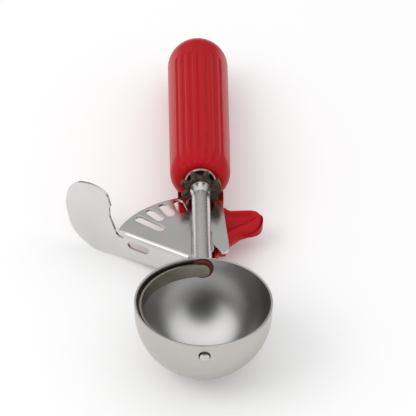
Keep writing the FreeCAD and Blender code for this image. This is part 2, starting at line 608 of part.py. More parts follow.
def make_ferrule():
    tube = cylinder("ferrule_tube", "bore_radius", "ferrule_length", at=("0", "barrel_front", "0"))
    lip = cone("ferrule_lip_ring", "bore_radius - 0.1", "bore_radius + 0.35", "ferrule_lip",
               at=("0", "barrel_front - ferrule_lip", "0"))
    bore = cylinder("ferrule_bore", "bore_radius - ferrule_wall", "3 * ferrule_length",
                    at=("0", "barrel_front - ferrule_length", "0"))
    return cut("bore_ferrule", joined("ferrule_blank", tube, lip), bore)


def make_bearing():
    near = "barrel_front + bore_depth"
    return cut("rear_bearing",
               cylinder("bearing_outer", "bearing_radius", "bearing_length", at=("0", near, "0")),
               cylinder("bearing_bore", "rod_radius + rod_fit", "3 * bearing_length",
                        at=("0", f"{near} - bearing_length", "0")))


def make_screw_washer():
    at = ("0", "pivot_place", "-chin_bottom + 0.2 + screw_head_height")
    return cut("screw_washer",
               cylinder("screw_washer_disc", "screw_washer_radius", "screw_washer_thickness", axis="Z", at=at),
               cylinder("screw_washer_bore", "screw_radius + 0.1", "screw_washer_thickness", axis="Z", at=at))


NODES = [make() for make in (
    make_bowl, make_tube, make_front_bush, make_scraper, make_nose_pin, make_rod, make_cross_pin,
    make_clip, make_thrust_washer, make_pinion, make_lever, make_lever_washer, make_post,
    make_spring_sleeve, make_spring, make_screw, make_screw_washer, make_handle, make_ferrule,
    make_bearing)]
doc.recompute()

for item in doc.Objects:
    if "Invalid" in item.State or "Error" in item.State:
        raise RuntimeError(f"{item.Name} failed: {item.getStatusString()}")

# How it lies on a table: pitched so that the bowl's sphere and the butt's sphere both touch,
# then rolled about the line between those two contacts until the thumb tab touches too. The
# origin ends up under the middle of the scoop's box, on the table.
def resting_placement():
    butt = size("handle_end - barrel_back_radius")
    pitch = math.degrees(math.asin((size("bowl_radius") - size("barrel_back_radius")) / butt))
    level = FreeCAD.Rotation(FreeCAD.Vector(1, 0, 0), -pitch)
    points = [level.multVec(p) for e in doc.getObject("lever").Shape.Edges for p in e.discretize(12)]
    low = min(points, key=lambda p: p.z)
    roll = math.degrees(math.atan2(low.z + size("bowl_radius"), -low.x))
    turn = FreeCAD.Rotation(FreeCAD.Vector(0, 1, 0), -roll).multiply(level)
    whole = FreeCAD.BoundBox()
    for piece in NODES:
        moved = piece.Shape.copy()
        moved.Placement = FreeCAD.Placement(FreeCAD.Vector(), turn).multiply(moved.Placement)
        whole.add(moved.optimalBoundingBox(True, False))
    return FreeCAD.Placement(FreeCAD.Vector(-whole.Center.x, -whole.Center.y, -whole.ZMin), turn), pitch, roll


lie, pitch, roll = resting_placement()
print(f"pitch {pitch:.3f} deg, roll {roll:.3f} deg")
os.makedirs("parts", exist_ok=True)
for node in NODES:
    node.Label = node.Name
    shape = node.Shape.copy()
    if shape.isNull() or not shape.isValid() or not shape.Solids:
        raise RuntimeError(f"{node.Name} has no sound solid")
    node.Placement = lie.multiply(node.Placement)
for node in NODES:
    node.Shape.exportStep(f"parts/{node.Label}.step")
    box = node.Shape.BoundBox
    print(f"{node.Label}: {len(node.Shape.Solids)} solid, {node.Shape.Volume:.0f} mm3, "
          f"x {box.XMin:.1f}..{box.XMax:.1f} y {box.YMin:.1f}..{box.YMax:.1f} z {box.ZMin:.1f}..{box.ZMax:.1f}")
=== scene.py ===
import itertools
import json
import math

import bmesh
import bpy
from mathutils import Matrix, Vector


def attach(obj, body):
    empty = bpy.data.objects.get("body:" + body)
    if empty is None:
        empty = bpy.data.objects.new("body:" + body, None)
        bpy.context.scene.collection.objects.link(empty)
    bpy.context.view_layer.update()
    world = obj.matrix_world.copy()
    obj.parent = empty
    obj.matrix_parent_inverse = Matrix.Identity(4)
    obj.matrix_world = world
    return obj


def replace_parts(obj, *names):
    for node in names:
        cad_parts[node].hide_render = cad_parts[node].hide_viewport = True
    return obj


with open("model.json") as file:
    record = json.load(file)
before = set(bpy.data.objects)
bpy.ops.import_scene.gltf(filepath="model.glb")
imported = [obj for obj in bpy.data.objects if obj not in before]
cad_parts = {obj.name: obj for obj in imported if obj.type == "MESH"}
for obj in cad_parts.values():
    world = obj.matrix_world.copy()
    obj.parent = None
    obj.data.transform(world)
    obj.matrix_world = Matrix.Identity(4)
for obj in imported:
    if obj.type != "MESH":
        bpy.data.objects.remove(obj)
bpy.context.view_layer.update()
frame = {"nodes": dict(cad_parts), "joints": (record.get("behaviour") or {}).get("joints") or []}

# The scoop's own axes, taken from its joints: Y runs up the shaft, Z out of the bowl's mouth,
# and the origin is the centre of the bowl's sphere.
JOINTS = {joint["name"]: joint for joint in frame["joints"]}
UP = -Vector(JOINTS["lever_pivot"]["axis"]).normalized()
ALONG = -Vector(JOINTS["scraper_turn"]["axis"]).normalized()
CENTRE = Vector(JOINTS["scraper_turn"]["pos_m"])
TOOL = Matrix.Translation(CENTRE) @ Matrix((ALONG.cross(UP), ALONG, UP)).transposed().to_4x4()
MM = 0.001

# Camera: where it stood, as a distance and two angles about the point it looks at. Its lens is
# as long as this many pixels of a square frame.
VIEW_TARGET = Vector((2.77, 62.78, 0.0)) * MM
VIEW_DISTANCE = 650 * MM
VIEW_ELEVATION = math.radians(36.65)
VIEW_AZIMUTH = math.radians(-1.49)
VIEW_ROLL = math.radians(0.83)
VIEW_REACH = 20
FOCAL_PIXELS = 1631.3
FRAME_PIXELS = 416
SENSOR = 36.0


def make_camera():
    """A long lens aimed down the shaft, placed in the scoop's own axes."""
    data = bpy.data.cameras.new("camera")
    data.sensor_width = SENSOR
    data.lens = FOCAL_PIXELS / FRAME_PIXELS * SENSOR
    data.clip_end = VIEW_REACH
    camera = bpy.data.objects.new("camera", data)
    bpy.context.scene.collection.objects.link(camera)
    right = Vector((math.cos(VIEW_AZIMUTH), math.sin(VIEW_AZIMUTH), 0))
    level_back = Vector((math.sin(VIEW_AZIMUTH), -math.cos(VIEW_AZIMUTH), 0))
    back = level_back * math.cos(VIEW_ELEVATION) + Vector((0, 0, math.sin(VIEW_ELEVATION)))
    up = back.cross(right)
    level = Matrix((right, up, back)).transposed()
    turn = (level @ Matrix.Rotation(VIEW_ROLL, 3, "Z")).to_4x4()
    camera.matrix_world = TOOL @ Matrix.Translation(VIEW_TARGET + back * VIEW_DISTANCE) @ turn
    bpy.context.scene.camera = camera


# Materials. Every shader reads object coordinates turned into the scoop's own axes, so that
# brushing can run round the bowl or along the shaft. A grain is the noise's scale along each
# axis, and is small along the lines that it draws.
MIX_FACTOR = 0
MIX_FIRST = 6
MIX_SECOND = 7
MIX_RESULT = 2
LINE_SCALE = 1800
CLOUD_SCALE = 60
CLOUD_SHADES = (0.95, 1.03)
ROUND_BOWL = (0.06, 0.06, 1.0)
ALONG_SHAFT = (1.0, 0.03, 1.0)
ROUND_SHAFT = (0.06, 1.0, 0.06)
ACROSS_PLATE = (0.05, 0.6, 0.6)
BOWL_SKIN = (0.0249, 0.0251)


class Shader:
    """A Principled material with a few helpers for building its texture nodes."""

    def __init__(self, name, color, roughness, metallic=0.0, **sockets):
        self.slot = name
        self.material = bpy.data.materials.new(name)
        self.material.use_nodes = True
        self.tree = self.material.node_tree
        self.shader = self.tree.nodes["Principled BSDF"]
        self.set("Base Color", (*color, 1))
        self.set("Roughness", roughness)
        self.set("Metallic", metallic)
        for socket, value in sockets.items():
            self.set(socket.replace("_", " "), value)

    def set(self, socket, value):
        self.shader.inputs[socket].default_value = value

    def link(self, output, socket):
        self.tree.links.new(output, socket)

    def node(self, kind, **values):
        """A new node, with its own settings or its sockets set to the values."""
        item = self.tree.nodes.new(kind)
        for key, value in values.items():
            if hasattr(item, key):
                setattr(item, key, value)
            else:
                item.inputs[key.replace("_", " ")].default_value = value
        return item

    def place(self, scale=(1, 1, 1)):
        """Object coordinates in the scoop's own axes, in metres times the scale."""
        source = self.node("ShaderNodeTexCoord")
        straight = self.node("ShaderNodeMapping", vector_type="TEXTURE")
        straight.inputs["Location"].default_value = TOOL.translation
        straight.inputs["Rotation"].default_value = TOOL.to_euler()
        stretch = self.node("ShaderNodeMapping")
        stretch.inputs["Scale"].default_value = scale
        self.link(source.outputs["Object"], straight.inputs["Vector"])
        self.link(straight.outputs["Vector"], stretch.inputs["Vector"])
        return stretch.outputs["Vector"]

    def noise(self, scale, stretch=(1, 1, 1), detail=3.0):
        item = self.node("ShaderNodeTexNoise", Scale=scale, Detail=detail)
        self.link(self.place(stretch), item.inputs["Vector"])
        return item.outputs["Fac"]

    def ramp(self, value, low, high, start=0.3, stop=0.7):
        """The value mapped from start..stop to low..high."""
        item = self.node("ShaderNodeMapRange")
        self.link(value, item.inputs["Value"])
        ends = {"From Min": start, "From Max": stop, "To Min": low, "To Max": high}
        for socket, number in ends.items():
            item.inputs[socket].default_value = number
        return item.outputs["Result"]

    def tint(self, value, low, high, start=0.3, stop=0.7):
        """Two colours blended by the value. A mix node lists its sockets for every data type,
        so its colours are found by number."""
        item = self.node("ShaderNodeMix", data_type="RGBA")
        item.inputs[MIX_FIRST].default_value = (*low, 1)
        item.inputs[MIX_SECOND].default_value = (*high, 1)
        self.link(self.ramp(value, 0, 1, start, stop), item.inputs[MIX_FACTOR])
        self.link(item.outputs[MIX_RESULT], self.shader.inputs["Base Color"])

    def rough(self, value, low, high):
        self.link(self.ramp(value, low, high), self.shader.inputs["Roughness"])

    def bump(self, value, strength, depth=0.0001):
        """A bump in the normal, on top of any bump that is there."""
        item = self.node("ShaderNodeBump", Strength=strength, Distance=depth)
        previous = self.shader.inputs["Normal"].links
        if previous:
            self.link(previous[0].from_socket, item.inputs["Normal"])
        self.link(value, item.inputs["Height"])
        self.link(item.outputs["Normal"], self.shader.inputs["Normal"])


def shade(color, factor):
    return tuple(channel * factor for channel in color)


def brushed(name, color, roughness, grain, strength=0.12, spread=0.035):
    """Brushed steel: fine lines that follow the grain, and a slow uneven sheen."""
    metal = Shader(name, color, roughness, metallic=1.0)
    lines = metal.noise(LINE_SCALE, grain)
    low, high = (shade(color, factor) for factor in CLOUD_SHADES)
    metal.tint(metal.noise(CLOUD_SCALE), low, high)
    metal.rough(lines, roughness - spread, roughness + spread)
    metal.bump(lines, strength)
    return metal


def two_faced(metal, inside, outside):
    """The bowl's polished inside is greyer than its satin outside. They part in the wall's
    middle, at a distance from the bowl's centre."""
    length = metal.node("ShaderNodeVectorMath", operation="LENGTH")
    metal.link(metal.place(), length.inputs[0])
    metal.tint(length.outputs["Value"], inside, outside, *BOWL_SKIN)


def red_plastic():
    """Moulded plastic: a fine grain over a slow waviness."""
    color = (0.47, 0.005, 0.010)
    grip = Shader("grip_red", color, 0.30, Specular_IOR_Level=0.14)
    low, high = (shade(color, factor) for factor in CLOUD_SHADES)
    grip.tint(grip.noise(scale=45), low, high)
    grip.bump(grip.noise(scale=1600), strength=0.05)
    grip.bump(grip.noise(scale=140), strength=0.05, depth=0.0004)
    return grip


def sintered_iron():
    """Pressed and sintered powder, mottled and dull."""
    color = (0.085, 0.070, 0.050)
    iron = Shader("sintered_iron", color, 0.48, metallic=0.75)
    iron.tint(iron.noise(scale=700), low=shade(color, 0.6), high=shade(color, 2.1))
    iron.bump(iron.noise(scale=1200), strength=0.4)
    return iron


def nylon(name, color):
    plain = Shader(name, color, 0.5)
    plain.tint(plain.noise(scale=200), low=shade(color, 0.9), high=shade(color, 1.05))
    plain.bump(plain.noise(scale=1500), strength=0.08)
    return plain


def material_table():
    """The material of every node."""
    steel = (0.54, 0.512, 0.482)
    bowl = brushed("bowl_steel", steel, 0.29, ROUND_BOWL, strength=0.006, spread=0.008)
    two_faced(bowl, (0.52, 0.515, 0.51), steel)
    tube = brushed("tube_steel", (0.68, 0.66, 0.65), 0.27, ALONG_SHAFT, strength=0.03)
    plate = brushed("plate_steel", (0.70, 0.685, 0.668), 0.20, ACROSS_PLATE, strength=0.015)
    # The scraper's steel is painted darker and browner than the bowl's, as painted shade for its place
    # inside the bowl.
    scraper = brushed("scraper_steel", (0.35, 0.31, 0.26), 0.28, ROUND_BOWL,
                      strength=0.01, spread=0.015)
    # The rod's steel is painted darker and browner than the other steels, as painted shade for the drive
    # rod and the pivot post, which sit in shade.
    rod = brushed("rod_steel", (0.34, 0.30, 0.26), 0.36, ROUND_SHAFT)
    pin = brushed("pin_steel", (0.60, 0.58, 0.55), 0.22, ROUND_SHAFT)
    screw = brushed("screw_steel", (0.55, 0.55, 0.55), 0.30, ROUND_SHAFT)
    spring = brushed("spring_steel", (0.42, 0.42, 0.43), 0.30, ROUND_SHAFT)
    ferrule = brushed("ferrule_aluminium", (0.46, 0.41, 0.36), 0.34, ROUND_SHAFT)
    # The bushes' red nylon is painted a dark red-brown, much darker than its real red, as painted shade
    # for the dark gap round the front bush at the bowl's wall.
    bush = nylon("bush_nylon", (0.14, 0.025, 0.022))
    washer = nylon("washer_nylon", (0.78, 0.77, 0.73))
    return {
        "bowl": bowl,
        "shaft_tube": tube,
        "front_bush": bush,
        "scraper_blade": scraper,
        "nose_pin": pin,
        "drive_rod": rod,
        "pinion_pin": pin,
        "rod_clip": spring,
        "thrust_washer": washer,
        "pinion": sintered_iron(),
        "lever": plate,
        "lever_washer": washer,
        "pivot_post": rod,
        "spring_sleeve": washer,
        "return_spring": spring,
        "post_screw": screw,
        "screw_washer": screw,
        "handle": red_plastic(),
        "bore_ferrule": ferrule,
        "rear_bearing": bush,
    }


def dress(nodes, shaders):
    """Each CAD node takes its procedural material in its own slot."""
    for name, shader in shaders.items():
        for holder in nodes[name].material_slots:
            holder.material = shader.material


# Pieces built here, in millimetres in the scoop's own axes. They stand for CAD nodes and add
# what a smooth mesh can show.
WELD = 1e-7
SHARP_RINGS = 60
SHARP_CHIN = 30
SHARP_LEVER = 16


def linked(name, data):
    """An object of the data, such as a mesh, put in the scene."""
    item = bpy.data.objects.new(name, data)
    bpy.context.scene.collection.objects.link(item)
    return item


def mesh_of(name, points, faces):
    mesh = bpy.data.meshes.new(name)
    mesh.from_pydata([tuple(point) for point in points], [], faces)
    return mesh


def in_place(mesh):
    """The mesh moved from the scoop's own axes and millimetres to the table and metres."""
    mesh.transform(TOOL @ Matrix.Scale(MM, 4))
    return mesh


def evaluated(item):
    """A mesh of the item as its modifiers or its curve make it."""
    bpy.context.view_layer.update()
    return bpy.data.meshes.new_from_object(item.evaluated_get(bpy.context.evaluated_depsgraph_get()))


def welded(mesh):
    """The mesh with doubled points joined and its faces all turned outwards."""
    shape = bmesh.new()
    shape.from_mesh(mesh)
    bmesh.ops.remove_doubles(shape, verts=shape.verts, dist=WELD)
    bmesh.ops.recalc_face_normals(shape, faces=shape.faces)
    shape.to_mesh(mesh)
    shape.free()
    return mesh


def finished(name, mesh, shader, body, sharp):
    """The mesh in its place, closed, smooth up to the sharp angle, riding on its body."""
    welded(in_place(mesh))
    mesh.shade_smooth()
    mesh.set_sharp_from_angle(angle=math.radians(sharp))
    mesh.materials.clear()
    mesh.materials.append(shader.material)
    item = linked(name, mesh)
    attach(item, body)
    return item


def flat_list(rings):
    return [point for ring in rings for point in ring]


def around(rings):
    """Faces joining rings of equally many points, each ring closed on itself."""
    count = len(rings[0])
    faces = []
    for row in range(len(rings) - 1):
        here, there = row * count, (row + 1) * count
        for k in range(count):
            after = (k + 1) % count
            faces.append((here + k, here + after, there + after, there + k))
    return faces


def end_caps(rings):
    """One face over the first ring and one over the last."""
    count = len(rings[0])
    last = count * len(rings) - 1
    return [tuple(range(count)), tuple(range(last, last - count, -1))]


def ring_piece(name, rings, shader):
    mesh = mesh_of(name, flat_list(rings), around(rings))
    return finished(name, mesh, shader, "frame", SHARP_RINGS)


def about_shaft(radius, along, turn):
    """The point at this radius and distance, turned this many degrees from the top."""
    angle = math.radians(turn)
    return radius * math.sin(angle), along, radius * math.cos(angle)


# Grip: the barrel with its flutes, which run over the rounded shoulder almost to its front.
BARREL_FRONT = 80.9
BARREL_END = 181.8
FRONT_RADIUS = 12.36
BACK_RADIUS = 13.5
MOUTH_RADIUS = 7.2
SHOULDER_ABOVE = 9.5
SHOULDER_BELOW = 6.0
SHOULDER_STEPS = 20
BUTT_STEPS = 18
BUTT_STEP_TURN = 5.0
BORE_RADIUS = 6.0
BORE_END = 88.9
BEARING_RADIUS = 4.2
BEARING_END = 98.9
FLUTE_COUNT = 7
FLUTE_TURN = 15.0
FLUTE_RADIUS = 1.25
FLUTE_DEPTH = 0.5
FLUTE_FRONT = 82.4
FLUTE_BACK = 160.2
FLUTE_STEPS = (-1.2, -0.95, -0.85, -0.7, -0.5, -0.25, 0, 0.25, 0.5, 0.7, 0.85, 0.95, 1.2)
FLUTE_END_STEP = 0.3
FLUTE_FRONT_ROWS = (-4, 3)
FLUTE_BACK_ROWS = (-1, 6)
PLAIN_ROWS_FROM = 92.0
PLAIN_ROW_STEP = 6.5
PLAIN_ROWS = 11
SIDE_TURNS_FROM = 10.0
SIDE_TURN_STEP = 7.5
SIDE_TURNS = 10


def shoulder(turn):
    """The front edge is well rounded above and crisper below, where it meets the chin."""
    share = (1 + math.cos(math.radians(turn))) / 2
    return SHOULDER_BELOW + (SHOULDER_ABOVE - SHOULDER_BELOW) * share ** 2


def barrel_radius(along, turn):
    """The plain barrel: a shoulder, a slight taper and a ball of a butt."""
    back = BARREL_END - BACK_RADIUS
    if along > back:
        return math.sqrt(max(BACK_RADIUS ** 2 - (along - back) ** 2, 0))
    share = (along - BARREL_FRONT) / (back - BARREL_FRONT)
    straight = FRONT_RADIUS + (BACK_RADIUS - FRONT_RADIUS) * share
    reach = max(1 - (along - BARREL_FRONT) / shoulder(turn), 0)
    return MOUTH_RADIUS + (straight - MOUTH_RADIUS) * math.sqrt(1 - reach ** 2)


FLUTE_LIMIT = FLUTE_TURN * (FLUTE_COUNT - 1) / 2


def flute_depth(along, turn):
    """How deep the nearest flute lies below the barrel at this place."""
    side = 0 if abs(turn) < 90 else math.copysign(180, turn)
    nearest = round((turn - side) / FLUTE_TURN) * FLUTE_TURN
    nearest = max(-FLUTE_LIMIT, min(FLUTE_LIMIT, nearest))
    across = math.radians(turn - side - nearest) * barrel_radius(along, turn)
    past = max(FLUTE_FRONT - along, along - FLUTE_BACK, 0)
    left = FLUTE_RADIUS ** 2 - across ** 2 - past ** 2
    return max(math.sqrt(left) - FLUTE_RADIUS + FLUTE_DEPTH, 0) if left > 0 else 0


def barrel_turns():
    """Angles round the barrel: close together across each flute and even elsewhere."""
    turns = set()
    for side in (0, 180):
        for number in range(FLUTE_COUNT):
            middle = side + number * FLUTE_TURN - FLUTE_LIMIT
            turns |= {round(middle + math.degrees(step / FRONT_RADIUS), 4) for step in FLUTE_STEPS}
        start = side + FLUTE_LIMIT + SIDE_TURNS_FROM
        turns |= {start + SIDE_TURN_STEP * k for k in range(SIDE_TURNS)}
    return sorted({(turn + 180) % 360 - 180 for turn in turns})


def barrel_rows():
    """Places along the barrel: close together at the shoulder, the flutes' ends and the butt."""
    quarter = [math.radians(90 * k / SHOULDER_STEPS) for k in range(SHOULDER_STEPS + 1)]
    rows = [BARREL_FRONT + SHOULDER_ABOVE * (1 - math.cos(turn)) for turn in quarter]
    rows += [FLUTE_FRONT + FLUTE_END_STEP * k for k in range(*FLUTE_FRONT_ROWS)]
    rows += [PLAIN_ROWS_FROM + PLAIN_ROW_STEP * k for k in range(PLAIN_ROWS)]
    rows += [FLUTE_BACK + FLUTE_END_STEP * k for k in range(*FLUTE_BACK_ROWS)]
    butt = [math.radians(BUTT_STEP_TURN * k) for k in range(BUTT_STEPS)]
    rows += [BARREL_END - BACK_RADIUS + BACK_RADIUS * math.sin(turn) for turn in butt]
    return sorted(set(rows))


def make_barrel(shader):
    """From the bearing's hole and the bore, over the shoulder and the flutes, to the butt."""
    turns = barrel_turns()
    hollow = ((BEARING_END, 0), (BEARING_END, BEARING_RADIUS), (BORE_END, BEARING_RADIUS),
              (BORE_END, BORE_RADIUS), (BARREL_FRONT, BORE_RADIUS))
    rings = [[about_shaft(radius, along, turn) for turn in turns] for along, radius in hollow]
    for along in barrel_rows():
        rings.append([about_shaft(barrel_radius(along, turn) - flute_depth(along, turn), along, turn)
                      for turn in turns])
    rings.append([(0, BARREL_END, 0)] * len(turns))
    return ring_piece("grip_barrel", rings, shader)


# Chin: the CAD handle's own, with its barrel and its finger rest cut away for the pieces here.
# A station of the barrel's cutter is a place and a radius, and the rest's is two corners.
CUTTER_STEPS = 120
CUTTER_STATIONS = ((BARREL_FRONT - 0.05, FRONT_RADIUS - 0.02), (BARREL_END - 20, BACK_RADIUS),
                   (BARREL_END + 1, BACK_RADIUS + 1))
REST_CUT = ((9.75, 46, -16), (30, 78, -8))
BOX_FACES = ((0, 1, 3, 2), (4, 6, 7, 5), (0, 4, 5, 1), (2, 3, 7, 6), (0, 2, 6, 4), (1, 5, 7, 3))


def barrel_cutter():
    turns = [360 * k / CUTTER_STEPS for k in range(CUTTER_STEPS)]
    rings = [[about_shaft(radius, along, turn) for turn in turns] for along, radius in CUTTER_STATIONS]
    mesh = mesh_of("barrel_cutter", flat_list(rings), around(rings) + end_caps(rings))
    return linked("barrel_cutter", in_place(mesh))


def rest_cutter():
    corners = itertools.product(*zip(*REST_CUT))
    return linked("rest_cutter", in_place(mesh_of("rest_cutter", corners, BOX_FACES)))


def make_chin(nodes, shader):
    """What is left of the CAD handle. The cutters and the blank go once it is made."""
    chin = linked("chin_blank", welded(nodes["handle"].data.copy()))
    tools = [barrel_cutter(), rest_cutter()]
    for tool in tools:
        change = chin.modifiers.new(tool.name, "BOOLEAN")
        change.object = tool
        change.solver = "EXACT"
    left = evaluated(chin)
    left.transform((TOOL @ Matrix.Scale(MM, 4)).inverted())
    for extra in [chin] + tools:
        bpy.data.objects.remove(extra)
    return finished("grip_chin", left, shader, "frame", SHARP_CHIN)


# Finger rest: a hook for the finger, with a raised lip behind, a dish, and a slanting ridge.
# The tip's rise and the lip go from a place to a place by a height. The dish has a spread and
# a depth.
REST_PLAN = ((6.5, 75.0), (11.5, 73.6), (21.5, 73.8), (24.7, 71.4), (25.3, 67.5), (24.0, 63.4),
             (20.6, 61.0), (15.8, 59.6), (11.5, 55.6), (6.5, 52.0))
REST_CENTRE = (16.5, 66.5)
PLAN_STEPS = 8
REST_TOP = -9.3
REST_UNDER = -15.3
REST_TIP_RISE = (12.0, 26.0, 3.2)
REST_ROUND = 2.6
REST_EDGE_SHARE = 0.30
REST_EDGE_STEPS = 6
REST_ROWS = 14
REST_LIP = (69.6, 72.6, 1.0)
REST_RIDGE = ((9.5, 58.0), (22.0, 67.0))
REST_DISH = (1.5, 1.4)
REST_SLOPE = 0.38


def smooth_loop(corners):
    """A closed Catmull-Rom curve through the corners."""
    points = []
    count = len(corners)
    for index in range(count):
        a, b, c, d = (Vector(corners[(index + k) % count]) for k in (-1, 0, 1, 2))
        for step in range(PLAN_STEPS):
            s = step / PLAN_STEPS
            points.append((2 * b + (c - a) * s + (2 * a - 5 * b + 4 * c - d) * s ** 2
                           + (3 * b - a - 3 * c + d) * s ** 3) / 2)
    return points


def limited(share):
    return max(0, min(1, share))


def rest_height(x, y):
    """The lip behind, then a dish down to the slanting ridge, and a slope in front of it."""
    start, stop, rise = REST_LIP
    lip = limited((y - start) / (stop - start))
    height = REST_TOP + rise * lip ** 2 * (3 - 2 * lip)
    begin, end = Vector(REST_RIDGE[0]), Vector(REST_RIDGE[1])
    line, spot = end - begin, Vector((x, y)) - begin
    behind = (line.x * spot.y - line.y * spot.x) / line.length
    if behind < 0:
        return height + REST_SLOPE * behind
    spread, depth = REST_DISH
    fade = limited((end.x + spread - x) / (2 * spread))
    return height - depth * fade * (1 - lip) * (1 - math.exp(-(behind / spread) ** 2))


def rest_under(x):
    """The underside climbs towards the tip, so the hook thins out."""
    start, stop, rise = REST_TIP_RISE
    return REST_UNDER + rise * max(0, (x - start) / (stop - start)) ** 2


def edge_drop(share):
    """How far the rounded edge has fallen at this share of the way out from the middle."""
    past = max(share - 1 + REST_EDGE_SHARE, 0) / REST_EDGE_SHARE
    return REST_ROUND * (1 - math.sqrt(1 - past ** 2))


def make_finger_rest(shader):
    """The plan drawn in towards its middle, once for the underside and once for the top."""
    plan = smooth_loop(REST_PLAN)
    middle = Vector(REST_CENTRE)
    edge = [math.radians(90 * k / REST_EDGE_STEPS) for k in range(REST_EDGE_STEPS + 1)]
    shares = [1 - REST_EDGE_SHARE * (1 - math.cos(turn)) for turn in edge]
    shares += [(1 - REST_EDGE_SHARE) * (1 - k / REST_ROWS) for k in range(1, REST_ROWS + 1)]
    under, top = [], []
    for share in shares:
        spots = [middle + (point - middle) * share for point in plan]
        drop = edge_drop(share)
        under.insert(0, [(spot.x, spot.y, rest_under(spot.x) + drop) for spot in spots])
        top.append([(spot.x, spot.y, rest_height(spot.x, spot.y) - drop) for spot in spots])
    return ring_piece("finger_rest", under + top, shader)


# Lever: one polished sheet with a true bend between its slotted plate and its flange. Its
# outlines lie about the pivot. The plate's are in the scoop's axes, and the flange's run
# along the bend and up. A corner is a place and a rounding radius.
PIVOT = Vector((0, 46, 0))
SHEET = 1.2
SHEET_EDGE = 0.16
PLATE_TOP = -6.7
BEND_TURN = math.radians(31)
BEND_OUTSIDE = 8.3
BEND_RADIUS = 1.3
BEND_INSIDE = BEND_OUTSIDE - BEND_RADIUS
BEND_FOOT = PLATE_TOP - BEND_RADIUS
BEND_STEPS = 12
BEND_FROM = 1.5
BEND_TO = 30.4
BEND_RUN = Vector((-math.cos(BEND_TURN), math.sin(BEND_TURN), 0))
BEND_AWAY = Vector((-math.sin(BEND_TURN), -math.cos(BEND_TURN), 0))
POST_RADIUS = 2.3
POST_STEPS = 36
HUB_RADIUS = 5.0
HUB_TURNS = (-70, 30)
HUB_STEPS = 12
LOBE = ((4.9, 2.2, 0), (7.6, -3.0, 1.0), (10.6, -3.2, 2.4), (10.9, 2.0, 0), (9.0, 30.0, 3.5),
        (5.0, 33.63, 0))
SECTOR_RADIUS = 34.0
SECTOR_TURNS = (84, 128)
SECTOR_STEPS = 20
TAIL_RADIUS = 38.08
TAIL_TURNS = (133, 160)
TAIL_STEPS = 12
TAIL_CENTRE = (2.2, -3.2)
SLOT_COUNT = 6
SLOT_PITCH = 12.0
TOOTH_PITCH = 45.0
TOOTH_FIRST = 251.0
TOOTH_DOWN = 270.0
SLOT_FIRST = (TOOTH_DOWN - TOOTH_FIRST) * SLOT_PITCH / TOOTH_PITCH - SLOT_PITCH
SLOT_HALF = 1.9
SLOT_NEAR = 25.4
SLOT_FAR = 30.8
SLOT_LONG_NEAR = 20.6
FLANGE = ((BEND_FROM, BEND_FOOT, 0), (BEND_FROM, -17.2, 1.5), (29.0, -18.4, 40), (45.0, -20.25, 12),
          (55.7, -14.8, 12), (58.6, -2.0, 14), (56.7, 6.6, 8), (52.3, 10.8, 7), (45.3, 12.1, 12),
          (38.6, 10.2, 5.0), (36.9, 4.1, 1.0), (37.6, 3.4, 0.3), (37.5, -1.0, 4), (34.0, -9.3, 1.8),
          (31.3, -9.3, 0.7), (BEND_TO, BEND_FOOT, 0.2))
FLANGE_SLOT_NEAR = 20.9
FLANGE_SLOT_FAR = 27.4
FLANGE_SLOT_HEIGHT = -11.3
FLANGE_SLOT_HALF = 1.75
CORNER_STEPS = 10
NEARLY_STRAIGHT = math.radians(88)


def rounded(corners):
    """The corners as an outline, with each one that turns and has a radius rounded by an arc."""
    points = []
    count = len(corners)
    for index, (x, y, radius) in enumerate(corners):
        here = Vector((x, y))
        back = (Vector(corners[index - 1][:2]) - here).normalized()
        ahead = (Vector(corners[(index + 1) % count][:2]) - here).normalized()
        half = back.angle(ahead) / 2
        if radius == 0 or half > NEARLY_STRAIGHT:
            points.append(here)
            continue
        centre = here + (back + ahead).normalized() * radius / math.sin(half)
        first = here + back * radius / math.tan(half) - centre
        last = here + ahead * radius / math.tan(half) - centre
        sweep = first.angle_signed(last)
        points += [centre + Matrix.Rotation(-sweep * k / CORNER_STEPS, 2) @ first
                   for k in range(CORNER_STEPS + 1)]
    return points


def arc(radius, start, stop, steps, centre=(0, 0)):
    turns = [math.radians(start + (stop - start) * k / steps) for k in range(steps + 1)]
    return [Vector((centre[0] + radius * math.cos(turn), centre[1] + radius * math.sin(turn)))
            for turn in turns]


def obround(near, far, half, turn=0.0):
    """A slot from near to far along its length, then turned about the origin."""
    loop = arc(half, 90, 270, CORNER_STEPS, (near, 0)) + arc(half, -90, 90, CORNER_STEPS, (far, 0))
    return [Matrix.Rotation(math.radians(turn), 2) @ point for point in loop]


def sheet_mesh(name, loops, place):
    """A sheet of the lever's thickness with eased edges, from an outline and its holes. The
    curve is drawn in by what its bevel adds."""
    curve = bpy.data.curves.new(name, "CURVE")
    curve.dimensions = "2D"
    curve.fill_mode = "BOTH"
    curve.extrude = SHEET / 2 - SHEET_EDGE
    curve.bevel_depth = SHEET_EDGE
    curve.bevel_resolution = 1
    curve.offset = -SHEET_EDGE
    for loop in loops:
        spline = curve.splines.new("POLY")
        spline.points.add(len(loop) - 1)
        spline.use_cyclic_u = True
        for spot, point in zip(spline.points, loop):
            spot.co = (point.x, point.y, 0, 1)
    holder = linked(name, curve)
    mesh = evaluated(holder)
    bpy.data.objects.remove(holder)
    mesh.transform(place)
    return mesh


